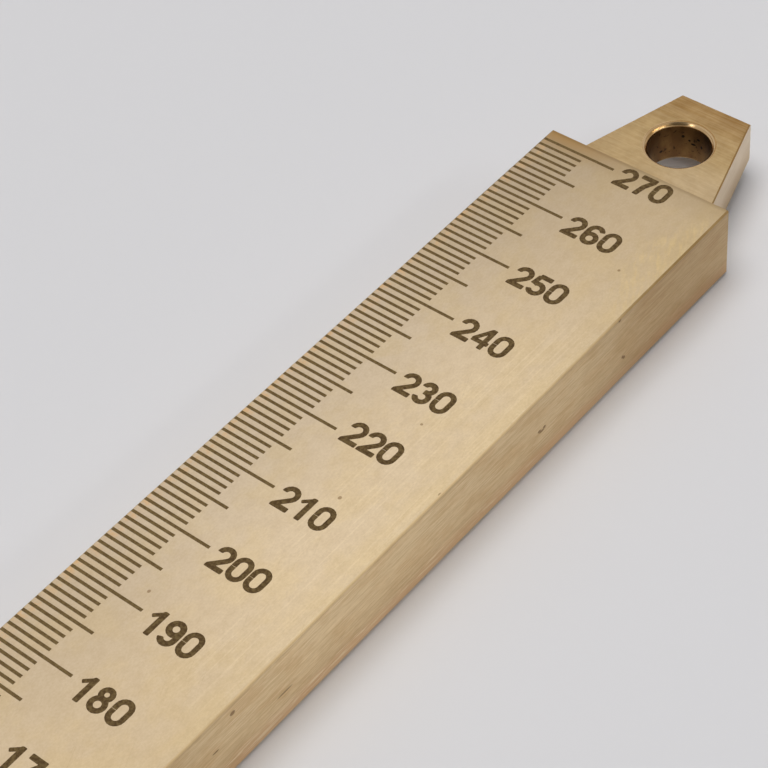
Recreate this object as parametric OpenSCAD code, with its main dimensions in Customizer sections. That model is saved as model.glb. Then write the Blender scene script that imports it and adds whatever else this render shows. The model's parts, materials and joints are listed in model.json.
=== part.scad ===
// Dipstick bar of solid brass. One long edge of its upper face is graduated in millimetres, and a
// tapered lug with an eye is milled on the upper end, so that the bar hangs upright from a hook.
// The bar lies along +Y with its zero end at the origin, so that Y is the reading in millimetres.
// X runs across the bar, with the graduated edge on the -X side, and the graduated face looks to +Z.

/* [Bar] */
// Width of the bar across the graduated face
bar_w = 25; // [20:0.5:40]
// Thickness of the bar
bar_t = 10; // [8:0.5:16]
// Length of the bar from its zero end to the shoulder where the lug begins
bar_l = 272; // [100:0.5:500]
// Chamfer that breaks the long edges of the graduated face
edge_break = 0.2; // [0.1:0.05:0.4]
// Chamfer that breaks the long edges of the underside, on which the bar is laid down
foot_break = 0.5; // [0.1:0.05:0.8]
// Chamfer that breaks the edges of both ends
end_break = 0.3; // [0.1:0.05:0.8]

/* [Eye lug] */
// Length of the lug beyond the shoulder
lug_l = 16; // [14:0.5:24]
// Thickness of the lug, which leaves an equal step on both faces of the bar
lug_t = 5.8; // [4:0.1:7]
// Width of the lug where it leaves the shoulder
lug_root_w = 19.2; // [16:0.1:19.8]
// Width of the lug at its tip
lug_tip_w = 9.6; // [8:0.1:14]
// Chamfer that breaks the long edges of the lug
lug_break = 0.15; // [0.05:0.05:0.4]
// Chamfer that breaks the upper and lower edge of the lug's tip
tip_break = 0.35; // [0.05:0.05:0.8]
// Diameter of the eye
eye_d = 7.6; // [5:0.1:8]
// Distance from the shoulder to the middle of the eye
eye_from_shoulder = 8; // [7:0.1:9]
// Chamfer at both mouths of the eye
eye_chamfer = 0.45; // [0.1:0.05:0.6]

/* [Scale] */
// Distance between neighbouring marks
mark_pitch = 1; // [0.5:0.5:2]
// Least bare length between the last mark and the shoulder
scale_margin = 1.5; // [1:0.5:20]
// Length of the shortest marks, measured from the broken edge
fine_mark_l = 6; // [4:0.5:7]
// Length of every fifth mark
fifth_mark_l = 8; // [7.5:0.5:9]
// Length of every tenth mark
tenth_mark_l = 10; // [9.5:0.5:14]
// Width of a mark
mark_w = 0.4; // [0.15:0.05:0.5]
// Depth to which a mark is cut
mark_depth = 0.1; // [0.05:0.01:0.2]
// How far the dark filling of a mark stays below the face
filling_recess = 0.02; // [0:0.01:0.04]

/* [Hidden] */
brass = "#cdb183";
filling_colour = "#4f3f22";
// Facets of a round hole
round_facets = 96;
// How far a cutter runs past the surface that it cuts
run_out = 1;
// Length of the lug's root that lies inside the bar
lug_tenon = 5;
face_z = bar_t / 2;
graduated_edge_x = -bar_w / 2;
eye_y = bar_l + eye_from_shoulder;
eye_r = eye_d / 2;
// Slope of the lug's flanks, as half width lost per unit of length
flank_slope = (lug_root_w - lug_tip_w) / 2 / lug_l;
// Half width that a flank loses when it is moved inwards by one unit, square to itself
flank_inset = sqrt(1 + flank_slope * flank_slope);
mark_count = floor((bar_l - scale_margin) / mark_pitch);

// The marks are counted from the zero end, and every fifth and tenth one is longer
function is_tenth(i) = i % 10 == 0;
function is_fifth(i) = i % 5 == 0 && !is_tenth(i);
function mark_length(i) = is_tenth(i) ? tenth_mark_l : is_fifth(i) ? fifth_mark_l : fine_mark_l;
function mark_end_x(i) = graduated_edge_x + edge_break + mark_length(i);
// X of the bar's surface on the graduated edge, at a depth below the face
function edge_x(depth) = graduated_edge_x + max(edge_break - depth, 0);

// A rectangle about the origin, with its upper and lower corners cut off at 45 degrees
module broken_rectangle(w, h, upper, lower) {
    polygon([
        [w / 2, h / 2 - upper], [w / 2 - upper, h / 2],
        [upper - w / 2, h / 2], [-w / 2, h / 2 - upper],
        [-w / 2, lower - h / 2], [lower - w / 2, -h / 2],
        [w / 2 - lower, -h / 2], [w / 2, lower - h / 2]
    ]);
}

// The rectangular bar: its end view, plan and side view, each with broken corners, intersected
module bar_blank() {
    intersection() {
        translate([0, bar_l, 0])
            rotate([90, 0, 0])
                linear_extrude(bar_l)
                    broken_rectangle(bar_w, bar_t, edge_break, foot_break);
        translate([0, bar_l / 2, -bar_t / 2])
            linear_extrude(bar_t)
                broken_rectangle(bar_w, bar_l, end_break, end_break);
        translate([-bar_w / 2, bar_l / 2, 0])
            rotate([0, 90, 0])
                linear_extrude(bar_w)
                    broken_rectangle(bar_t, bar_l, end_break, end_break);
    }
}

// Plan of the lug, with its flanks drawn in by an inset. Its root runs straight back into the bar.
module lug_plan(inset) {
    root = lug_root_w / 2 - inset * flank_inset;
    tip = lug_tip_w / 2 - inset * flank_inset;
    tip_y = bar_l + lug_l;
    polygon([
        [root, bar_l - lug_tenon], [root, bar_l], [tip, tip_y],
        [-tip, tip_y], [-root, bar_l], [-root, bar_l - lug_tenon]
    ]);
}

// The tapered lug: its plan with broken flanks, intersected with its side view
module lug_blank() {
    intersection() {
        hull() {
            translate([0, 0, -lug_t / 2])
                linear_extrude(lug_t)
                    lug_plan(lug_break);
            translate([0, 0, -lug_t / 2 + lug_break])
                linear_extrude(lug_t - 2 * lug_break)
                    lug_plan(0);
        }
        translate([-lug_root_w / 2, bar_l, 0])
            rotate([0, 90, 0])
                linear_extrude(lug_root_w)
                    broken_rectangle(lug_t, 2 * lug_l, tip_break, tip_break);
    }
}

// The drill and the countersinks that make the eye
module eye_cutter() {
    translate([0, eye_y, 0]) {
        translate([0, 0, -lug_t / 2 - run_out])
            cylinder(h = lug_t + 2 * run_out, r = eye_r, $fn = round_facets);
        for (side = [0, 1])
            mirror([0, 0, side])
                translate([0, 0, lug_t / 2 - eye_chamfer])
                    cylinder(h = eye_chamfer + run_out, r1 = eye_r,
                             r2 = eye_r + eye_chamfer + run_out, $fn = round_facets);
    }
}

// The cutter of one mark, which runs out over the graduated edge
module mark_cutter(i) {
    start_x = graduated_edge_x - run_out;
    translate([start_x, i * mark_pitch - mark_w / 2, face_z - mark_depth])
        cube([mark_end_x(i) - start_x, mark_w, mark_depth + run_out]);
}

// The dark filling of one mark. It ends flush with the broken edge.
module mark_filling(i) {
    translate([0, i * mark_pitch + mark_w / 2, 0])
        rotate([90, 0, 0])
            linear_extrude(mark_w)
                polygon([
                    [edge_x(filling_recess), face_z - filling_recess],
                    [edge_x(mark_depth), face_z - mark_depth],
                    [mark_end_x(i), face_z - mark_depth],
                    [mark_end_x(i), face_z - filling_recess]
                ]);
}

module bar() {
    color(brass)
        difference() {
            union() {
                bar_blank();
                lug_blank();
            }
            eye_cutter();
            for (i = [1 : mark_count])
                mark_cutter(i);
        }
}

module millimetre_marks() {
    color(filling_colour)
        for (i = [1 : mark_count])
            if (!is_fifth(i) && !is_tenth(i))
                mark_filling(i);
}

module five_millimetre_marks() {
    color(filling_colour)
        for (i = [1 : mark_count])
            if (is_fifth(i))
                mark_filling(i);
}

module ten_millimetre_marks() {
    color(filling_colour)
        for (i = [1 : mark_count])
            if (is_tenth(i))
                mark_filling(i);
}

bar();
millimetre_marks();
five_millimetre_marks();
ten_millimetre_marks();
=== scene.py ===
"""Looks of a solid brass dip bar: engraved numerals, brass finishes, dark filling and a stage.

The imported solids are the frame. The bar is shown by a copy with its numerals cut in, and the marks
stay as they are. Every length in this file is in metres, and MM turns millimetres into metres.
"""

import json
from functools import partial
from math import copysign, cos, hypot, pi, radians, sin

import bmesh
import bpy
from bpy.props import (
    FloatProperty,
    FloatVectorProperty,
    PointerProperty,
)
from mathutils import Matrix, Quaternion, Vector


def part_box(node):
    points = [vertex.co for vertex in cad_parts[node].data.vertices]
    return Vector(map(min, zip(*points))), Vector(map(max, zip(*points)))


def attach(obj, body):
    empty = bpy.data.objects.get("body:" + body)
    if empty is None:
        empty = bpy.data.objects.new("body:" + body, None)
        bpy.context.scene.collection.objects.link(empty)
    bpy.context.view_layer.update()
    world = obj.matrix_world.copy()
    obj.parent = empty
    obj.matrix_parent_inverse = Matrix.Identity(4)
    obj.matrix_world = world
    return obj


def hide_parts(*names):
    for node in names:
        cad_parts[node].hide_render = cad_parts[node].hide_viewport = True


bl_info = {
    "name": "Brass Dip Bar",
    "version": (1, 0, 0),
    "blender": (4, 5, 0),
    "location": "View3D > Sidebar > Dip Bar",
    "description": "Engraves and finishes a graduated brass dip bar and lights it for a photograph",
    "category": "Add Mesh",
}

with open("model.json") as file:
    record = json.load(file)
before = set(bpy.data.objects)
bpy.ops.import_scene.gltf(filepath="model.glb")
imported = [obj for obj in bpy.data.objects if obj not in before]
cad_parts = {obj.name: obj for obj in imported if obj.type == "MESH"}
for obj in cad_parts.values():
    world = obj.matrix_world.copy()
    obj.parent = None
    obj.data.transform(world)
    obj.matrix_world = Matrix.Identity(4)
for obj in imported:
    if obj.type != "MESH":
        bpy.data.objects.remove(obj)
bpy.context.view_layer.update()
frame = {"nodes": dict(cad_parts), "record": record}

MM = 0.001
BAR_LOW, BAR_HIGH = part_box("bar")
FACE_Z = BAR_HIGH.z
LUG_LENGTH = 16 * MM
SHOULDER_Y = BAR_HIGH.y - LUG_LENGTH
SHOULDER_BREAK = 0.3 * MM  # width of the shoulder's broken edge
LONG_MARKS_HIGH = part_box("ten_millimetre_marks")[1]
NUMBERED_EVERY = 10
LAST_NUMBER = round(LONG_MARKS_HIGH.y / MM / NUMBERED_EVERY) * NUMBERED_EVERY
EYE = next(m for m in frame["record"]["mounts"] if m["name"] == "eye")
EYE_Y = EYE["pos_m"][1]
EYE_R = EYE["dims"]["r_mm"] * MM
RIM_W = 0.45 * MM  # width of the countersinks of the eye
RIM_ROUNDING = 0.14 * MM  # how far turning rounds the edges of the countersinks
RIM_STEPS = 4  # facets across such a rounded edge
CUTTER_OVERRUN = 0.5 * MM  # how far the cutter of the numerals stands out of the face

NEAR = 0.05 * MM  # two places on the bar closer than this are the same place
ONE_POINT = 0.0001 * MM  # points of a CAD mesh closer than this are one point
SHARP = radians(30)  # two faces that meet at a greater angle have a sharp edge
# Shares of a face's normal along an axis: a wall has less than WALL of the upward axis, and a steep
# face less than STEEP. A face square to an axis has more than SQUARE of it, and a level face more
# than LEVEL of the upward one.
WALL, STEEP, SQUARE, LEVEL = 0.1, 0.3, 0.9, 0.999

# Digits as an engraver draws them, in millimetres from the lower left corner of the digit's cell.
# A stroke is: pen width, corner radii, start x, start y, heading in degrees, then its moves. A move
# of one number is a straight length. A move of two is a bend's radius and its turn in degrees, to
# the left if positive, and a turn of 360 closes a ring. Corner radii are one for all four corners,
# or start left, start right, end left and end right.
DIGITS = {
    "0": [
        (0.65, 0.04, 0.31, 1.705, 90, [(0.55,), (0.815, -180), (1.13,), (0.815, -180), (0.55,)]),
    ],
    "1": [
        (0.69, (0.13, 0.13, 0.28, 0.13), 1.33, 0, 90, [(3.38,)]),
        (0.50, 0.13, 0.26, 2.19, 40, [(1.35,)]),
    ],
    "2": [
        (0.67, 0.13, 0.34, 2.265, 90, [(0.80, -224), (1.94,)]),
        (0.67, (0.32, 0.10, 0.13, 0.13), 0.05, 0.335, 0, [(2.23,)]),
    ],
    "3": [
        (0.71, 0.13, 0.47, 2.44, 90, [(0.63, -270), (0.25,)]),
        (0.69, 0.13, 1.05, 1.81, 0, [(0.05,), (0.75, -260)]),
    ],
    "4": [
        (0.64, 0.13, 1.60, 0, 90, [(3.38,)]),
        (0.61, 0.13, 0, 1.03, 0, [(2.2,)]),
        (0.58, 0.13, 0.15, 1.03, 58.1, [(2.56,)]),
    ],
    "5": [
        (0.70, 0.13, 0.42, 3.03, 0, [(1.68,)]),
        (0.65, 0.13, 0.55, 3.03, -98.7, [(1.45,)]),
        (0.68, 0.13, 0.487, 1.624, 50, [(0.80, -300)]),
    ],
    "6": [
        (0.67, 0.13, 0.39, 1.06, 90, [(0.76, -360)]),
        (0.67, 0.13, 0.39, 1.06, 90, [(1.21,), (0.80, -160)]),
    ],
    "7": [
        (0.72, 0.13, 0.11, 3.02, 0, [(2.11,)]),
        (0.71, 0.13, 1.95, 2.95, -125.6, [(5.494, 33)]),
    ],
    "8": [
        (0.66, 0.13, 0.44, 2.46, 90, [(0.61, -360)]),
        (0.67, 0.13, 0.28, 1.08, 90, [(0.77, -360)]),
    ],
    "9": [
        (0.72, 0.13, 1.83, 2.32, -90, [(0.75, -360)]),
        (0.72, 0.13, 1.83, 2.32, -90, [(1.23,), (0.78, -160)]),
    ],
}
DRAWN_HEIGHT = 3.38
BEND_STEP = 20  # degrees that one facet of a bend turns
FULL_TURN = 360  # degrees
CORNER_STEPS = 3  # facets of a stroke's rounded corner
LEAST_GAP = 0.0005  # points of a drawn digit closer than this are one point
# Numbers that were struck off their line on the real scale, and by how much towards the eye
STRUCK_OFF_LINE = {220: 1.02 * MM, 230: -0.13 * MM}


def linear(hex_colour):
    """The linear colour of an sRGB hex value."""
    channels = [int(hex_colour[i : i + 2], 16) / 255 for i in (1, 3, 5)]
    return tuple(c / 12.92 if c <= 0.04045 else ((c + 0.055) / 1.055) ** 2.4 for c in channels)


def colour_property(name, description, hex_colour):
    """A colour that a user can change, written as an sRGB hex value."""
    return FloatVectorProperty(
        name=name,
        description=description,
        subtype="COLOR",
        size=3,
        min=0,
        max=1,
        default=linear(hex_colour),
    )


def length_property(name, description, millimetres):
    """A length that a user can change, written in millimetres."""
    return FloatProperty(
        name=name,
        description=description,
        unit="LENGTH",
        subtype="DISTANCE",
        precision=5,
        default=millimetres * MM,
    )


class DIPBAR_PG_numerals(bpy.types.PropertyGroup):
    """Sizes of the engraved numerals"""

    height: length_property("Height", "Height of a digit", DRAWN_HEIGHT)
    advance: length_property("Advance", "Distance from one digit to the next", 2.40)
    gap: length_property("Gap", "Distance from a long mark's end to its number", 0.93)
    drop: length_property("Drop", "How far a number's foot lies below its mark", 2.03)
    depth: length_property("Depth", "Depth to which the numerals are cut", 0.10)
    recess: length_property("Recess", "How far the filling stays below the face", 0.02)


class DIPBAR_PG_finish(bpy.types.PropertyGroup):
    """Colours of the brass and of the filling"""

    face: colour_property("Face", "Ground graduated face", "#EAD3B1")
    face_warm: colour_property("Face, yellow", "Yellower patches of the face", "#EBD2A8")
    face_worn: colour_property("Face, worn", "Orange patches on the graduated edge", "#E2B783")
    smear: colour_property("Smear", "Yellow smear beside the plain edge", "#EFD294")
    edge: colour_property("Edge", "Brushed long edges", "#F3DBB0")
    edge_streak: colour_property("Edge, streaks", "Darker streaks of the brushed edges", "#E2C799")
    edge_worn: colour_property("Edge, worn", "Orange-brown band low on the edges", "#F4CFA1")
    # pale hairs, and also the colour of the painted highlights low on the brushed edges
    rubbed: colour_property("Rubbed", "Hairs where the brass is rubbed bright", "#FFEAC8")
    # darkens the finishes along the bar and in a few lines; on the upper half of the brushed edges
    # near the eye it is a painted shade
    tarnish: colour_property("Tarnish", "Film that darkens the handled end", "#CEC8BD")
    handled: colour_property("Handled", "Dull film along the graduated edge", "#CED4E8")
    lug: colour_property("Lug", "Milled lug", "#C1A373")
    lug_dark: colour_property("Lug, tarnished", "Tarnished tip of the lug", "#A17A45")
    browned: colour_property("Browned edges", "Edges of the lug and the shoulder", "#9F8459")
    corner: colour_property("Corner", "Worn corner beside the last marks", "#AD8650")
    scratch: colour_property("Scratches", "Hair scratches and grain of the face", "#A88A5C")
    # pale partly as a painted reflection of the pale surroundings
    flank: colour_property("Flank", "Filed flanks and tip of the lug", "#DDC8A9")
    flank_line: colour_property("Flank, lines", "File marks of the flanks", "#CBB28A")
    rim: colour_property("Rim", "Turned countersink of the eye", "#D8B88C")
    stain: colour_property("Stain", "Stained bore of the eye", "#7F5C35")
    stain_light: colour_property("Stain, light", "Thinner stain in the eye", "#A07A48")
    grime: colour_property("Grime", "Dark specks in the eye", "#261908")
    filling: colour_property("Filling", "Dark filling of marks and numerals", "#523C1D")
    filling_worn: colour_property("Filling, worn", "Thinner grains of the filling", "#7C663E")
    filling_thin: colour_property("Filling, thin", "Filling of the narrow marks", "#8A7248")


class DIPBAR_PG_stage(bpy.types.PropertyGroup):
    """Floor, lamps and camera"""

    floor: colour_property("Floor", "Pale paper under the bar", "#E4E3E5")
    ceiling: FloatProperty(
        name="Ceiling",
        description="Brightness of the soft lamps overhead and in front",
        min=0,
        default=4.55,
    )
    panel: FloatProperty(
        name="Panel",
        description="Brightness of the panel that the upper face mirrors",
        min=0,
        default=0.86,
    )
    backdrop: FloatProperty(
        name="Backdrop",
        description="Brightness of what the camera and the metal see elsewhere",
        min=0,
        default=0.65,
    )
    lamp: FloatProperty(
        name="Lamps",
        description="Brightness of the two lamps that the eye mirrors",
        min=0,
        default=12,
    )
    lens: FloatProperty(
        name="Lens",
        description="Focal length on a 36 mm sensor",
        unit="CAMERA",
        default=112.02,
    )
    roll: FloatProperty(
        name="Roll",
        description="How far the camera is turned about its own axis",
        subtype="ANGLE",
        default=radians(-6.351),
    )
    floor_size: FloatProperty(
        name="Floor size",
        description="Side of the square floor",
        unit="LENGTH",
        default=6.0,
    )


# Where the light comes from, as directions from the bar, with the half angle of each round patch
# and of its soft edge in degrees. The panel is what the upper face mirrors.
CEILING = (-0.14, -0.12, 0.98), 18, 6
FRONT = (0.44, -0.44, 0.78), 10, 4
PANEL = (-0.50, 0.52, 0.70), 26, 12
DARK_ROOM = (0.38, -0.55, 0.75), 22, 9
BETWEEN_LAMPS = 0.08  # brightness of the sky beside the ceiling and the front
IN_DARK_ROOM = 0.12  # brightness of the dark room
# The two lamps: direction, length and height in metres, and how far a lamp is turned in its plane
LAMPS = {
    "long_lamp": ((0.775, 0.22, 0.59), 0.60, 0.03, -17),
    "small_lamp": ((-0.13, -0.70, 0.70), 0.17, 0.035, 0),
}
LAMP_AWAY = 0.9  # metres from the bar
# Where the camera stands and looks, as a fit of the marks gave it
CAMERA_PLACE = Vector((121.154, 100.682, 190.804)) * MM
CAMERA_AIM = Vector((-2.338, 227.998, 5.031)) * MM
SENSOR_WIDTH = 36  # millimetres
CLIP_NEAR, CLIP_FAR = 0.01, 50  # metres


def show(name, data):
    """Links a mesh, a lamp or a lens to the scene as an object at the origin."""
    made = bpy.data.objects.new(name, data)
    bpy.context.scene.collection.objects.link(made)
    return made


def mesh_of(bm, name):
    """Turns a bmesh into a mesh, and frees it."""
    mesh = bpy.data.meshes.new(name)
    bm.to_mesh(mesh)
    bm.free()
    return mesh


def add_node(tree, kind, *feeds, stops=(), **settings):
    """Adds one node. Feeds go to those of its inputs that are in use, in their order. A setting
    with a capital feeds the input of its name, written with _ for a space, and the others are the
    node's own. A feed is a plain value, an output, or a node, for its first output in use. Stops
    are places on a ramp and their greys."""
    node = tree.nodes.new("ShaderNode" + kind)
    fed = []
    for name, value in settings.items():
        if name[0].isupper():
            fed.append((node.inputs[name.replace("_", " ")], value))
        else:
            setattr(node, name, value)
    fed += zip([socket for socket in node.inputs if socket.enabled], feeds)
    for socket, value in fed:
        if isinstance(value, bpy.types.Node):
            value = next(output for output in value.outputs if output.enabled)
        if isinstance(value, bpy.types.NodeSocket):
            tree.links.new(value, socket)
        else:
            socket.default_value = value
    if stops:
        ramp = node.color_ramp.elements
        while len(ramp) < len(stops):
            ramp.new(1)
        for element, (place, grey) in zip(ramp, stops):
            element.position, element.color = place, (grey, grey, grey, 1)
    return node


# Settings that come again and again: a smooth passage from the first two numbers to the last two,
# a colour laid over another by a share, and a colour that darkens another by a share when multiplied
# in
SMOOTH = {"interpolation_type": "SMOOTHSTEP"}
OVER = {"data_type": "RGBA"}
MULTIPLIED = {"data_type": "RGBA", "blend_type": "MULTIPLY"}


def new_material(name):
    """An empty material: (material, function that adds its nodes, object coordinates, those
    coordinates apart by their letters)."""
    made = bpy.data.materials.new(name)
    made.use_nodes = True
    made.node_tree.nodes.clear()
    add = partial(add_node, made.node_tree)
    place = add("TexCoord").outputs["Object"]
    return made, add, place, add("SeparateXYZ", place).outputs


def rgba(colour):
    """A colour with full cover."""
    return (*colour, 1)


def scale_of(size):
    """The scale that gives a pattern a size in millimetres along X, Y and Z."""
    return [1 / (length * MM) for length in size]


def grain(add, place, size, *passage, detail=4.0, turn=0.0):
    """Uneven grey between 0 and 1, whose grains have a size in millimetres, turned by degrees. With
    a passage, what lies between its first two numbers passes smoothly from its third, which is 0 if
    left out, to its fourth, which is 1."""
    turned = add("Mapping", Vector=place, Rotation=(0, 0, radians(turn)))
    scaled = add("Mapping", Vector=turned, Scale=scale_of(size))
    grey = add("TexNoise", Vector=scaled, Scale=1.0, Detail=detail, Roughness=0.6)
    return add("MapRange", grey, *passage, **SMOOTH) if passage else grey


# How far from its middle a mark begins and is full, as shares of its size
MARK_EDGE, MARK_FULL = 0.5, 0.3


def spot(add, place, centre, size):
    """A soft-edged mark of a size in millimetres round a place in millimetres."""
    off = add("Mapping", Vector=place, Location=[-c * MM for c in centre])
    off = add("Mapping", Vector=off, Scale=scale_of(size))
    off = add("VectorMath", off, operation="LENGTH")
    return add("MapRange", off, MARK_EDGE, MARK_FULL, **SMOOTH)


def spots(add, place, marks):
    """Several marks in one: pairs of a place and a size, both in millimetres."""
    found = 0.0
    for centre, size in marks:
        found = add("Math", spot(add, place, centre, size), found, operation="MAXIMUM")
    return found


def tarnished(add, reading, colour, film, amounts, more=1.0):
    """A colour darkened along the bar: amounts are pairs of a reading on the scale and how much
    darkening lies there, and more makes the darkening stronger or weaker."""
    first, last = amounts[0][0], amounts[-1][0]
    along = add("MapRange", reading, first * MM, last * MM)
    stops = [((mark - first) / (last - first), amount) for mark, amount in amounts]
    share = add("Math", add("ValToRGB", along, stops=stops), more, operation="MULTIPLY")
    return add("Mix", share, colour, rgba(film), **MULTIPLIED)


# Specks and stains on the graduated face, and nicks in the long edge: place and size in millimetres
FACE_SPECKS = [
    ((4.2, 212.9, 5), (0.5, 0.6, 1)),
    ((4.65, 225.8, 5), (0.4, 0.4, 1)),
    ((8.0, 256.7, 5), (0.4, 0.45, 1)),
    ((-3.45, 192.2, 5), (0.45, 0.55, 1)),
    ((12.35, 219.3, 5), (0.5, 0.6, 1)),
]
EDGE_NICKS = [
    ((12.5, 235.75, -0.02), (1, 0.7, 0.45)),
    ((12.5, 236.15, -0.28), (1, 1.1, 0.4)),
    ((12.5, 236.65, -0.05), (1, 0.6, 0.5)),
    ((12.5, 251.05, -1.4), (1, 0.5, 0.5)),
    ((12.5, 251.3, -1.65), (1, 0.6, 0.5)),
    ((12.5, 186.8, 3.5), (1, 0.9, 0.7)),
    ((12.5, 183.8, 0.4), (1, 1.1, 0.3)),
    ((12.5, 193.8, -0.8), (1, 2.8, 0.24)),
    ((12.5, 250.6, 4.7), (1, 0.6, 0.6)),
]
BORE_SPECKS = [
    ((-1.71, 283.34, 0.9), (0.5, 0.5, 0.55)),
    ((-1.0, 283.66, 0.35), (0.4, 0.4, 0.35)),
    ((-0.5, 283.75, -0.1), (0.8, 0.8, 0.4)),
    ((0.2, 283.8, 0.9), (0.6, 0.6, 0.4)),
    ((0.7, 283.7, 0.0), (0.4, 0.4, 0.6)),
    ((-3.5, 281.35, -1.0), (0.5, 0.6, 0.45)),
]
# How much each finish is darkened at which reading of the scale
FACE_DARKENING = [
    (0, 0.45), (25, 0.15), (120, 0.2), (178, 0.32), (190, 0.22), (202, 0.02), (236, 0.07),
    (248, 0.28), (258, 0.43), (268, 0.62), (272, 0.95),
]
EDGE_DARKENING = [
    (0, 0.6), (40, 0.3), (150, 0.35), (178, 0.48), (186, 0.3), (196, 0.12), (206, 0.12),
    (222, 0.32), (242, 0.4), (258, 0.84), (272, 0.96),
]
BREAK_DARKENING = [
    (0, 0.6), (40, 0.4), (150, 0.5), (180, 0.6), (190, 0.44), (200, 0.36), (215, 0.34),
    (230, 0.34), (245, 0.5), (254, 0.9), (258, 1.0), (272, 1.0),
]


def ground_face(finish):
    """Brass ground flat and left satin: pale gold, with faint clouds, a yellower border along the
    plain edge, hair scratches and a few specks. Real grinding lines are finer than the picture can
    show, so they are drawn as hairs of a tenth of a millimetre."""
    made, add, place, part = new_material("satin_ground_brass")
    clouds = grain(add, place, (5, 7, 5), 0.42, 0.62, 0.0, 0.7)
    border = add("MapRange", part["X"], 8.2 * MM, 11.6 * MM, **SMOOTH)
    uneven = grain(add, place, (2.5, 7, 5), 0.35, 0.60, 0.35, 1.0)
    border = add("Math", border, uneven, operation="MULTIPLY")
    warm = add("Math", clouds, border, operation="MAXIMUM")
    colour = add("Mix", warm, rgba(finish.face), rgba(finish.face_warm), **OVER)
    colour = tarnished(add, part["Y"], colour, finish.tarnish, FACE_DARKENING)
    # fingers hold the bar by its graduated edge, where the film is thicker
    across = add("MapRange", part["X"], 7 * MM, -12 * MM, 0.0, 0.44, **SMOOTH)
    along = add("MapRange", part["Y"], 150 * MM, 202 * MM, **SMOOTH)
    handled = add("Math", across, along, operation="MULTIPLY")
    colour = add("Mix", handled, colour, rgba(finish.handled), **MULTIPLIED)
    # and the brass is worn to a warm orange in patches where the marks run out
    patches = grain(add, place, (1.3, 1.3, 1), 0.45, 0.65, 0.1, 0.75, detail=2.0)
    run_out = add("MapRange", part["X"], -10.4 * MM, -12.2 * MM, **SMOOTH)
    worn = add("Math", run_out, patches, operation="MULTIPLY")
    colour = add("Mix", worn, colour, rgba(finish.face_worn), **OVER)
    # the worn corner beside the last marks is orange-brown
    along = add("MapRange", part["Y"], 268 * MM, 271.8 * MM, **SMOOTH)
    across = add("MapRange", part["X"], 2 * MM, -12 * MM, 0.0, 0.9, **SMOOTH)
    corner = add("Math", along, across, operation="MULTIPLY")
    colour = add("Mix", corner, colour, rgba(finish.corner), **OVER)
    # a dark line lies along the shoulder
    start, end = SHOULDER_Y - 0.9 * MM, SHOULDER_Y - 0.4 * MM
    line = add("MapRange", part["Y"], start, end, 0.0, 0.5, **SMOOTH)
    colour = add("Mix", line, colour, rgba(finish.tarnish), **MULTIPLIED)
    # a yellow smear is left beside the plain edge, near the eye
    rubbed_on = grain(add, place, (0.6, 2.5, 1), 0.40, 0.70, 0.0, 0.35, detail=3.0, turn=-30)
    smear = spot(add, place, (12, 260, 5), (9, 22, 20))
    smear = add("Math", smear, rubbed_on, operation="MULTIPLY")
    colour = add("Mix", smear, colour, rgba(finish.smear), **OVER)
    # faint pale streaks follow the plain edge
    streaks = grain(add, place, (0.3, 14, 1), 0.50, 0.66, 0.0, 0.24, detail=2.0)
    near_edge = spot(add, place, (9, 216, 5), (16, 76, 20))
    streaks = add("Math", streaks, near_edge, operation="MULTIPLY")
    colour = add("Mix", streaks, colour, rgba(finish.rubbed), **OVER)
    # a soft mottle, a fine grain, and hair scratches that lie aslant and lengthwise
    mottle = grain(add, place, (1.2, 1.8, 1.2), 0.35, 0.70, 0.0, 0.10, detail=2.0)
    colour = add("Mix", mottle, colour, rgba(finish.scratch), **OVER)
    fine = grain(add, place, (0.2, 0.3, 0.3), 0.25, 0.75, 0.0, 0.15, detail=2.0)
    colour = add("Mix", fine, colour, rgba(finish.scratch), **OVER)
    hairs = grain(add, place, (0.10, 9, 1), 0.66, 0.72, 0.0, 0.16, detail=2.0, turn=-24)
    long_hairs = grain(add, place, (0.09, 30, 1), 0.64, 0.72, 0.0, 0.14, detail=2.0)
    scratches = add("Math", hairs, long_hairs, operation="MAXIMUM")
    colour = add("Mix", scratches, colour, rgba(finish.scratch), **OVER)
    specks = add("Math", spots(add, place, FACE_SPECKS), 0.6, operation="MULTIPLY")
    colour = add("Mix", specks, colour, rgba(finish.stain), **OVER)
    bump = add("Bump", Height=scratches, Strength=0.15, Distance=-0.01 * MM)
    shader = add("BsdfPrincipled", colour, Metallic=1.0, Roughness=0.34, Normal=bump)
    add("OutputMaterial", shader)
    return made


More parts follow.
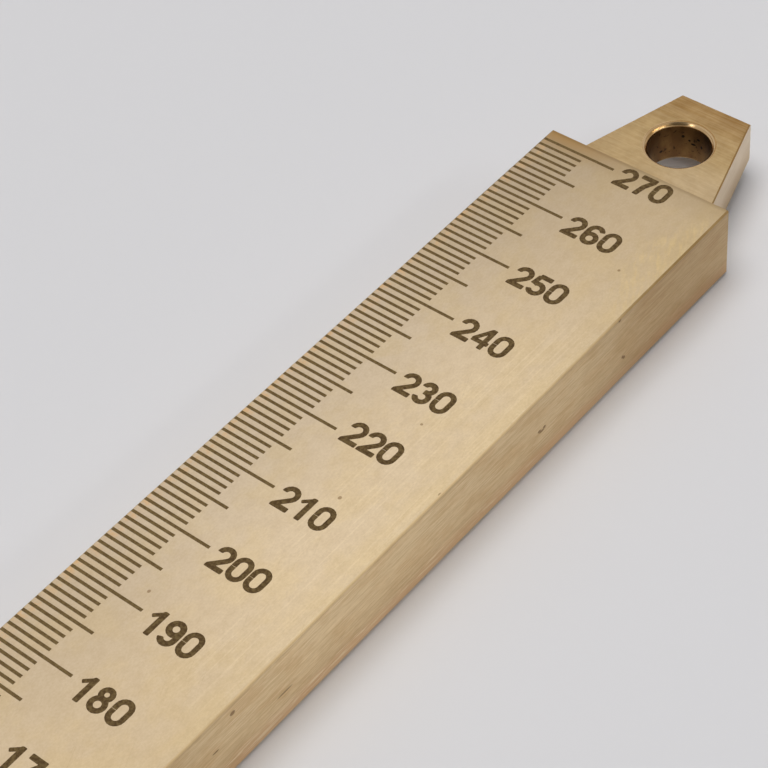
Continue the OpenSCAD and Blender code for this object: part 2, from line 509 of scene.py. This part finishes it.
def brushed_edge(finish):
    """Brass drawn over abrasive cloth lengthwise: a fine grain with short bright hairs along the
    edge, an orange-brown band where the bar lies on the table with painted highlights as short
    glints along it, and a painted shade on the upper half. The grit's own lines are finer than the
    picture can show, so they are drawn 0.13 to 0.26 mm wide."""
    made, add, place, part = new_material("brushed_brass")
    streaks = grain(add, place, (0.26, 9, 0.26), detail=3.0)
    fine = add("Math", grain(add, place, (0.14, 1.2, 0.14), detail=2.0), 0.7, operation="MULTIPLY")
    both = add("Math", fine, streaks, operation="ADD")
    pale = add("MapRange", both, 0.65, 1.05, **SMOOTH)
    colour = add("Mix", pale, rgba(finish.edge_streak), rgba(finish.edge), **OVER)
    hairs = grain(add, place, (0.13, 5, 0.13), 0.59, 0.68, 0.0, 0.62, detail=2.0)
    colour = add("Mix", hairs, colour, rgba(finish.rubbed), **OVER)
    clouds = grain(add, place, (2, 5, 2), 0.42, 0.65, 0.0, 0.25, detail=3.0)
    colour = add("Mix", clouds, colour, rgba(finish.edge_streak), **MULTIPLIED)
    # the band low on the edge wanders a little, and short bright glints along it are painted
    # highlights
    wander = add("Math", grain(add, place, (9, 9, 9), detail=2.0), 1.6 * MM, operation="MULTIPLY")
    height = add("Math", part["Z"], wander, operation="ADD")
    height = add("Math", height, 0.8 * MM, operation="SUBTRACT")
    band = add("MapRange", height, -2.2 * MM, -4.1 * MM, 0.0, 0.75, **SMOOTH)
    colour = add("Mix", band, colour, rgba(finish.edge_worn), **OVER)
    off_line = add("Math", height, 3.3 * MM, operation="ADD")
    off_line = add("Math", off_line, operation="ABSOLUTE")
    glint_band = add("MapRange", off_line, 1.0 * MM, 0.3 * MM, **SMOOTH)
    along = add("MapRange", part["Y"], 245 * MM, 222 * MM, 0.15, 1.0, **SMOOTH)
    glint_band = add("Math", glint_band, along, operation="MULTIPLY")
    # painted highlights: short bright glints in the band, strongest towards the zero end
    painted_glints = grain(add, place, (0.22, 4, 0.22), 0.52, 0.62, detail=2.0)
    painted_glints = add("Math", painted_glints, glint_band, operation="MULTIPLY")
    colour = add("Mix", painted_glints, colour, rgba(finish.rubbed), **OVER)
    # a dark line lies under the broken edge, and the brass is yellower near the eye
    under = add("MapRange", part["Z"], 4.2 * MM, 4.7 * MM, 0.0, 0.28, **SMOOTH)
    colour = add("Mix", under, colour, rgba(finish.tarnish), **MULTIPLIED)
    yellow = add("MapRange", part["Y"], 246 * MM, 258 * MM, 0.0, 0.2, **SMOOTH)
    colour = add("Mix", yellow, colour, rgba(finish.edge_streak), **MULTIPLIED)
    # painted shade: the upper half of the edge is darkened more than its lower half, most where the
    # edge is darkest, near the eye
    shade_above = add("MapRange", part["Z"], -4 * MM, 4 * MM, 0.72, 1.12, **SMOOTH)
    colour = tarnished(add, part["Y"], colour, finish.tarnish, EDGE_DARKENING, shade_above)
    nicks = spots(add, place, EDGE_NICKS)
    stained = add("Math", nicks, 0.8, operation="MULTIPLY")
    colour = add("Mix", stained, colour, rgba(finish.stain), **OVER)
    relief = add("Math", both, nicks, operation="SUBTRACT")
    bump = add("Bump", Height=relief, Strength=0.25, Distance=0.02 * MM)
    shader = add("BsdfPrincipled", colour, Metallic=1.0, Roughness=0.36, Normal=bump)
    add("OutputMaterial", shader)
    return made


def broken_edge(finish):
    """Edges broken with a file: a narrow, dull line with a painted shade on its lower half, darkened
    along the bar.
    """
    made, add, place, part = new_material("filed_brass")
    # painted shade: the lower half of the narrow edge takes the lug's darker gold and the upper half
    # the face's, as a rounded edge turns away from the light
    start, end = FACE_Z - 0.05 * MM, FACE_Z - 0.15 * MM
    shaded_low = add("MapRange", part["Z"], start, end, 0.0, 0.5, **SMOOTH)
    colour = add("Mix", shaded_low, rgba(finish.face_warm), rgba(finish.lug), **OVER)
    brown = add("MapRange", part["Y"], 244 * MM, 260 * MM, **SMOOTH)
    colour = add("Mix", brown, colour, rgba(finish.lug), **OVER)
    uneven = grain(add, place, (3, 5, 3), 0.3, 0.7, 0.75, 1.25, detail=3.0)
    colour = tarnished(add, part["Y"], colour, finish.tarnish, BREAK_DARKENING, uneven)
    add("OutputMaterial", add("BsdfPrincipled", colour, Metallic=1.0, Roughness=0.55))
    return made


def browned_edge(finish):
    """Edges of the lug and the shoulder, browned where the hook rubs: a thin darker outline."""
    made, add, place, _ = new_material("browned_brass")
    uneven = grain(add, place, (2, 2, 2), 0.35, 0.65, detail=3.0)
    colour = add("Mix", uneven, rgba(finish.browned), rgba(finish.lug_dark), **OVER)
    add("OutputMaterial", add("BsdfPrincipled", colour, Metallic=1.0, Roughness=0.45))
    return made


def milled_lug(finish):
    """Brass milled across the lug: faint fine lines side by side, a warmer gold than the ground
    face, and orange-brown tarnish along its left edge and towards the tip."""
    made, add, place, part = new_material("milled_brass")
    clouds = grain(add, place, (3, 3, 3), detail=3.0)
    reach = add("Math", clouds, 7 * MM, operation="MULTIPLY")
    reach = add("Math", part["Y"], reach, operation="ADD")
    start, end = SHOULDER_Y + 11 * MM, BAR_HIGH.y + 5 * MM
    tarnish = add("MapRange", reach, start, end, **SMOOTH)
    aside = add("Math", clouds, 3 * MM, operation="MULTIPLY")
    aside = add("Math", part["X"], aside, operation="ADD")
    left = add("MapRange", aside, -4 * MM, -8.5 * MM, 0.0, 0.45, **SMOOTH)
    tarnish = add("Math", tarnish, left, operation="MAXIMUM")
    colour = add("Mix", tarnish, rgba(finish.lug), rgba(finish.lug_dark), **OVER)
    grey = add("MapRange", clouds, 0.35, 0.65, 0.0, 0.35, **SMOOTH)
    colour = add("Mix", grey, colour, rgba(finish.tarnish), **MULTIPLIED)
    # the root is a little rosy on the right
    start, end = SHOULDER_Y + 9 * MM, SHOULDER_Y + 3 * MM
    along = add("MapRange", part["Y"], start, end, 0.0, 0.36, **SMOOTH)
    across = add("MapRange", part["X"], -4 * MM, 6 * MM, 0.25, 1.0, **SMOOTH)
    rosy = add("Math", along, across, operation="MULTIPLY")
    colour = add("Mix", rosy, colour, rgba(finish.flank), **OVER)
    cuts = grain(add, place, (6, 0.3, 0.5))
    pale = add("MapRange", cuts, 0.35, 0.65, 0.0, 0.14, **SMOOTH)
    colour = add("Mix", pale, colour, rgba(finish.edge), **OVER)
    mottle = grain(add, place, (0.8, 0.5, 0.8), 0.3, 0.7, 0.0, 0.16, detail=2.0)
    colour = add("Mix", mottle, colour, rgba(finish.lug_dark), **OVER)
    bump = add("Bump", Height=cuts, Strength=0.2, Distance=0.02 * MM)
    shader = add("BsdfPrincipled", colour, Metallic=1.0, Roughness=0.34, Normal=bump)
    add("OutputMaterial", shader)
    return made


def filed_flank(finish):
    """Brass draw-filed along the lug's flanks and tip: pale and rosy, partly as a painted reflection
    of the pale surroundings, a darker gold low down as a painted shade, with soft lines lengthwise."""
    made, add, place, part = new_material("draw_filed_brass")
    lines = grain(add, place, (3, 3, 0.4), 0.3, 0.7, 0.0, 0.5)
    colour = add("Mix", lines, rgba(finish.flank), rgba(finish.flank_line), **OVER)
    # painted shade: darker gold towards the foot, where the flank mirrors the shadow on the floor
    shaded_low = add("MapRange", part["Z"], 1 * MM, -2.8 * MM, 0.0, 0.9, **SMOOTH)
    colour = add("Mix", shaded_low, colour, rgba(finish.lug), **OVER)
    add("OutputMaterial", add("BsdfPrincipled", colour, Metallic=1.0, Roughness=0.34))
    return made


def turned_rim(finish):
    """Brass turned by the countersink: smooth and bright, so that it mirrors the lamps, with a few
    fine rings."""
    made, add, place, _ = new_material("turned_brass")
    rings = grain(add, place, (6, 6, 0.09), 0.35, 0.7, detail=2.0)
    colour = add("Mix", rings, rgba(finish.rim), rgba(finish.lug_dark), **OVER)
    add("OutputMaterial", add("BsdfPrincipled", colour, Metallic=1.0, Roughness=0.19))
    return made


def stained_bore(finish):
    """Brass darkened by handling and old oil: brown, darkest high on one side, with dark specks.
    The oil is no metal, so the surface is not quite metallic."""
    made, add, place, part = new_material("oil_stained_brass")
    smears = grain(add, place, (1.6, 1.6, 3), 0.35, 0.7, detail=3.0)
    colour = add("Mix", smears, rgba(finish.stain), rgba(finish.stain_light), **OVER)
    high = add("MapRange", part["Z"], -1.5 * MM, 2 * MM, **SMOOTH)
    side = add("MapRange", part["X"], -1 * MM, 2 * MM, 0.15, 0.7, **SMOOTH)
    soiled = add("Math", high, side, operation="MULTIPLY")
    dust = grain(add, place, (0.5, 0.5, 0.5), 0.58, 0.68, 0.0, 0.75)
    specks = add("Math", dust, spots(add, place, BORE_SPECKS), operation="MAXIMUM")
    soiled = add("Math", specks, soiled, operation="MAXIMUM")
    colour = add("Mix", soiled, colour, rgba(finish.grime), **OVER)
    add("OutputMaterial", add("BsdfPrincipled", colour, Metallic=0.85, Roughness=0.40))
    return made


def dark_filling(finish):
    """Matt brown wax or oxide rubbed into the engraving: uneven and slightly grainy."""
    made, add, place, part = new_material("dark_engraving_filling")
    worn = grain(add, place, (0.35, 0.35, 0.35), 0.35, 0.70, 0.0, 0.75, detail=3.0)
    colour = add("Mix", worn, rgba(finish.filling), rgba(finish.filling_worn), **OVER)
    # the narrow marks hold less of it than the numerals do
    narrow = add("MapRange", part["X"], -1.4 * MM, -2.0 * MM, 0.0, 0.3, **SMOOTH)
    colour = add("Mix", narrow, colour, rgba(finish.filling_thin), **OVER)
    shader = add("BsdfPrincipled", colour, Roughness=0.75, Specular_IOR_Level=0.25)
    add("OutputMaterial", shader)
    return made


def matt_paper(stage):
    """Matt paper: an even pale grey with no gloss, on which the bar's shadow lies."""
    made, add, _, _ = new_material("matt_paper")
    pale = rgba(stage.floor)
    add("OutputMaterial", add("BsdfPrincipled", pale, Roughness=0.9, Specular_IOR_Level=0.0))
    return made


def left_of(heading):
    """The direction to the left of a heading."""
    return Vector((-sin(heading), cos(heading), 0))


def draw_stroke(bm, stroke):
    """Draws one stroke as a flat ribbon: the pen is an edge that is pushed along and spun round."""
    width, corners, x, y, heading, moves = stroke
    point, heading = Vector((x, y, 0)), radians(heading)
    aside = left_of(heading) * width / 2
    start = [bm.verts.new(point + aside), bm.verts.new(point - aside)]
    pen, ends = bm.edges.new(start), start
    for move in moves:
        if len(move) == 1:
            ahead = Vector((cos(heading), sin(heading), 0)) * move[0]
            grown = bmesh.ops.extrude_edge_only(bm, edges=[pen])["geom"]
            ends = [g for g in grown if isinstance(g, bmesh.types.BMVert)]
            bmesh.ops.translate(bm, verts=ends, vec=ahead)
            point = point + ahead
        else:
            radius, turn = move[0], radians(move[1])
            centre = point + left_of(heading) * copysign(radius, turn)
            closed = abs(move[1]) == FULL_TURN
            grown = bmesh.ops.spin(
                bm,
                geom=[pen, *ends],
                cent=centre,
                axis=(0, 0, 1),
                angle=turn,
                steps=max(2, round(abs(move[1]) / BEND_STEP)),
                use_merge=closed,
            )["geom_last"]
            if closed:
                return
            ends = [g for g in grown if isinstance(g, bmesh.types.BMVert)]
            heading += turn
            point = centre + Matrix.Rotation(turn, 3, "Z") @ (point - centre)
        pen = next(e for e in bm.edges if set(e.verts) == set(ends))
    ends.sort(key=lambda vert: -vert.co.dot(left_of(heading)))
    radii = corners if isinstance(corners, tuple) else [corners] * 4
    for vert, radius in zip([*start, *ends], radii):
        bmesh.ops.bevel(
            bm,
            geom=[vert],
            affect="VERTICES",
            offset=radius,
            segments=CORNER_STEPS,
            profile=0.5,
            material=-1,
        )


def stroke_solid(stroke):
    """One stroke as a solid of unit height on the plane of the digit."""
    bm = bmesh.new()
    draw_stroke(bm, stroke)
    bmesh.ops.dissolve_limit(bm, angle_limit=radians(1), verts=bm.verts, edges=bm.edges)
    grown = bmesh.ops.extrude_face_region(bm, geom=bm.faces[:])["geom"]
    top = [g for g in grown if isinstance(g, bmesh.types.BMVert)]
    bmesh.ops.translate(bm, verts=top, vec=(0, 0, 1))
    bmesh.ops.recalc_face_normals(bm, faces=bm.faces)
    return mesh_of(bm, "stroke")


def combine(base, tool, operation):
    """A new mesh of the base with the tool united to it or cut from it."""
    pair = [show("base", base), show("tool", tool)]
    carve = pair[0].modifiers.new("carve", "BOOLEAN")
    carve.operation, carve.solver, carve.object = operation, "EXACT", pair[1]
    graph = bpy.context.evaluated_depsgraph_get()
    made = bpy.data.meshes.new_from_object(pair[0].evaluated_get(graph))
    for helper in pair:
        bpy.data.objects.remove(helper)
    return made


def digit_solid(strokes):
    """A digit's strokes, united to one solid without points that nearly coincide."""
    solids = [stroke_solid(stroke) for stroke in strokes]
    made = solids[0]
    for other in solids[1:]:
        made = combine(made, other, "UNION")
    bm = bmesh.new()
    bm.from_mesh(made)
    bmesh.ops.dissolve_degenerate(bm, dist=LEAST_GAP, edges=bm.edges)
    bmesh.ops.remove_doubles(bm, verts=bm.verts, dist=LEAST_GAP)
    return mesh_of(bm, "digit")


def all_numerals(sizes, low, high, name):
    """Every number of the scale as one mesh, standing between two heights."""
    scale = sizes.height / DRAWN_HEIGHT  # metres that a drawn millimetre becomes
    digits = {digit: digit_solid(strokes) for digit, strokes in DIGITS.items()}
    bm = bmesh.new()
    for number in range(NUMBERED_EVERY, LAST_NUMBER + 1, NUMBERED_EVERY):
        foot = number * MM - sizes.drop + STRUCK_OFF_LINE.get(number, 0)
        for place, digit in enumerate(str(number)):
            left = LONG_MARKS_HIGH.x + sizes.gap + place * sizes.advance
            before = len(bm.verts)
            bm.from_mesh(digits[digit])
            bm.verts.ensure_lookup_table()
            placed = Matrix.Translation((left, foot, low)) @ Matrix.Diagonal(
                (scale, scale, high - low, 1)
            )
            bmesh.ops.transform(bm, matrix=placed, verts=bm.verts[before:])
    bmesh.ops.recalc_face_normals(bm, faces=bm.faces)
    return mesh_of(bm, name)


def merged_copy(node):
    """A CAD node's mesh with its loose triangles joined to whole faces."""
    bm = bmesh.new()
    bm.from_mesh(frame["nodes"][node].data)
    bmesh.ops.remove_doubles(bm, verts=bm.verts, dist=ONE_POINT)
    bmesh.ops.dissolve_limit(bm, angle_limit=radians(0.1), verts=bm.verts, edges=bm.edges)
    bmesh.ops.recalc_face_normals(bm, faces=bm.faces)
    return mesh_of(bm, node + "_merged")


def round_eye(mesh):
    """The bar with the edges of both countersinks rounded, as turning leaves them."""
    bm = bmesh.new()
    bm.from_mesh(mesh)
    rims = [
        edge
        for edge in bm.edges
        if all(hypot(v.co.x, v.co.y - EYE_Y) < EYE_R + RIM_W + NEAR for v in edge.verts)
        and abs(edge.verts[0].co.z - edge.verts[1].co.z) < NEAR
        and edge.calc_face_angle() > SHARP
    ]
    bmesh.ops.bevel(
        bm,
        geom=rims,
        affect="EDGES",
        offset=RIM_ROUNDING,
        segments=RIM_STEPS,
        profile=0.5,
        material=-1,
    )
    return mesh_of(bm, "bar_with_round_eye")


FINISHES = {
    "face": ground_face,
    "edge": brushed_edge,
    "break": broken_edge,
    "browned": browned_edge,
    "lug": milled_lug,
    "flank": filed_flank,
    "rim": turned_rim,
    "bore": stained_bore,
}


def finish_of(centre, normal):
    """The finish of a face of the bar, by where it lies and how it looks."""
    up = abs(normal.z)
    if hypot(centre.x, centre.y - EYE_Y) < EYE_R + 2 * RIM_W and up < LEVEL:
        return "bore" if up < STEEP else "rim"
    if centre.y > SHOULDER_Y + NEAR and up < WALL:
        return "flank"
    broken = max(abs(normal.x), abs(normal.y), up) < SQUARE
    if centre.y > SHOULDER_Y - SHOULDER_BREAK and broken:
        return "browned"
    if centre.y > SHOULDER_Y - NEAR:
        return "lug"
    if up > SQUARE:
        return "face"
    return "break" if broken else "edge"


class DIPBAR_OT_engrave_bar(bpy.types.Operator):
    """Shows the bar by a copy of its solid with the numerals cut in, and finishes the brass"""

    bl_idname = "dipbar.engrave_bar"
    bl_label = "Engrave the bar"

    def execute(self, context):
        sizes = context.scene.dip_bar_numerals
        low, high = FACE_Z - sizes.depth, FACE_Z + CUTTER_OVERRUN
        cutter = all_numerals(sizes, low, high, "numeral_cutter")
        mesh = combine(round_eye(merged_copy("bar")), cutter, "DIFFERENCE")
        mesh.name = "engraved_bar"
        mesh.materials.clear()
        for make in FINISHES.values():
            mesh.materials.append(make(context.scene.dip_bar_finish))
        mesh.set_sharp_from_angle(angle=SHARP)
        order = list(FINISHES)
        for face in mesh.polygons:
            finish = finish_of(face.center, face.normal)
            face.material_index = order.index(finish)
            face.use_smooth = finish in ("rim", "bore")
        bar = show("engraved_bar", mesh)
        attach(bar, "root")
        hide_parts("bar")
        return {"FINISHED"}


class DIPBAR_OT_fill_engraving(bpy.types.Operator):
    """Fills the numerals, and gives the filling of the marks the same dark finish"""

    bl_idname = "dipbar.fill_engraving"
    bl_label = "Fill the engraving"

    def execute(self, context):
        sizes = context.scene.dip_bar_numerals
        filling = dark_filling(context.scene.dip_bar_finish)
        mesh = all_numerals(sizes, FACE_Z - sizes.depth, FACE_Z - sizes.recess, "numerals")
        mesh.materials.append(filling)
        numerals = show("numerals", mesh)
        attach(numerals, "root")
        for name, node in frame["nodes"].items():
            if name.endswith("_marks"):
                node.data.materials.clear()
                node.data.materials.append(filling)
        return {"FINISHED"}


def paper_floor(stage):
    """A square sheet of paper on which the bar lies."""
    bm = bmesh.new()
    bmesh.ops.create_grid(bm, x_segments=1, y_segments=1, size=stage.floor_size / 2)
    bmesh.ops.translate(bm, verts=bm.verts, vec=(0, 0, BAR_LOW.z))
    mesh = mesh_of(bm, "paper_floor")
    mesh.materials.append(matt_paper(stage))
    return mesh


def patch(add, sky, where, low, high):
    """A round patch of the sky: low outside and high inside."""
    away, half, edge = where
    towards = add("VectorMath", sky, Vector(away).normalized(), operation="DOT_PRODUCT")
    outer, inner = cos(radians(half + edge)), cos(radians(half - edge))
    return add("MapRange", towards, outer, inner, low, high, **SMOOTH)


def light_tent(stage):
    """A world of soft light. The camera and the metal see a pale backdrop all round, with a dark
    room behind the camera, and the floor sees the lamps overhead and past the camera instead."""
    world = bpy.data.worlds.new("light_tent")
    world.use_nodes = True
    world.node_tree.nodes.clear()
    add = partial(add_node, world.node_tree)
    sky = add("TexCoord").outputs["Generated"]
    overhead = patch(add, sky, CEILING, BETWEEN_LAMPS, stage.ceiling)
    in_front = patch(add, sky, FRONT, BETWEEN_LAMPS, stage.ceiling)
    lamps = add("Math", overhead, in_front, operation="MAXIMUM")
    backdrop = patch(add, sky, DARK_ROOM, stage.backdrop, IN_DARK_ROOM)
    ray = add("LightPath").outputs
    seen = add("Math", ray["Is Glossy Ray"], ray["Is Transmission Ray"], operation="ADD")
    seen = add("Math", seen, ray["Is Camera Ray"], operation="MAXIMUM")
    around = add("Mix", seen, lamps, backdrop)
    panel = patch(add, sky, PANEL, 0.0, stage.panel)
    strength = add("Math", panel, around, operation="MAXIMUM")
    add("OutputWorld", add("Background", (1, 1, 1, 1), strength))
    return world


def hang_lamp(name, brightness):
    """Hangs one of the lamps that the eye mirrors, and turns it towards the eye."""
    away, long, high, turn = LAMPS[name]
    light = bpy.data.lights.new(name, "AREA")
    light.shape, light.size, light.size_y = "RECTANGLE", long, high
    light.energy = brightness * pi * long * high  # watts that give its face this brightness
    holder = show(name, light)
    away = Vector(away).normalized()
    holder.location = Vector((0, EYE_Y, 0)) + away * LAMP_AWAY
    facing = away.to_track_quat("Z", "Y") @ Quaternion((0, 0, 1), radians(turn))
    holder.rotation_euler = facing.to_euler()


def set_up_camera(stage):
    """Puts the camera in its place, looking down on the bar's upper end."""
    lens = bpy.data.cameras.new("camera")
    lens.lens, lens.sensor_width = stage.lens, SENSOR_WIDTH
    lens.clip_start, lens.clip_end = CLIP_NEAR, CLIP_FAR
    camera = show("camera", lens)
    aim = (CAMERA_AIM - CAMERA_PLACE).to_track_quat("-Z", "Y")
    camera.location = CAMERA_PLACE
    camera.rotation_mode = "QUATERNION"
    camera.rotation_quaternion = aim @ Quaternion((0, 0, 1), stage.roll)
    return camera


class DIPBAR_OT_light_stage(bpy.types.Operator):
    """Lays the pale floor, lights it like a product table and sets the camera"""

    bl_idname = "dipbar.light_stage"
    bl_label = "Light the stage"

    def execute(self, context):
        scene, stage = context.scene, context.scene.dip_bar_stage
        show("paper_floor", paper_floor(stage))
        scene.world = light_tent(stage)
        for name in LAMPS:
            hang_lamp(name, stage.lamp)
        scene.camera = set_up_camera(stage)
        scene.view_settings.view_transform = "Standard"
        return {"FINISHED"}


# What the panel lists: title, name in the scene, settings and the step that uses them
STEPS = (
    ("Numerals", "dip_bar_numerals", DIPBAR_PG_numerals, DIPBAR_OT_engrave_bar),
    ("Finishes", "dip_bar_finish", DIPBAR_PG_finish, DIPBAR_OT_fill_engraving),
    ("Stage", "dip_bar_stage", DIPBAR_PG_stage, DIPBAR_OT_light_stage),
)


class DIPBAR_PT_panel(bpy.types.Panel):
    """Lists the settings and the steps in the sidebar"""

    bl_idname = "DIPBAR_PT_panel"
    bl_label = "Brass Dip Bar"
    bl_space_type = "VIEW_3D"
    bl_region_type = "UI"
    bl_category = "Dip Bar"

    def draw(self, context):
        for title, name, settings, step in STEPS:
            box = self.layout.box()
            box.label(text=title)
            for setting in settings.__annotations__:
                box.prop(getattr(context.scene, name), setting)
            box.operator(step.bl_idname)


def register():
    """Registers the settings, the steps and the panel."""
    for _, name, settings, step in STEPS:
        bpy.utils.register_class(settings)
        bpy.utils.register_class(step)
        setattr(bpy.types.Scene, name, PointerProperty(type=settings))
    bpy.utils.register_class(DIPBAR_PT_panel)


def unregister():
    """Takes back what register did, in the opposite order."""
    bpy.utils.unregister_class(DIPBAR_PT_panel)
    for _, name, settings, step in reversed(STEPS):
        delattr(bpy.types.Scene, name)
        bpy.utils.unregister_class(step)
        bpy.utils.unregister_class(settings)


def main():
    """Makes the whole bar and its stage."""
    register()
    bpy.ops.dipbar.engrave_bar()
    bpy.ops.dipbar.fill_engraving()
    bpy.ops.dipbar.light_stage()


if __name__ == "__main__":
    main()
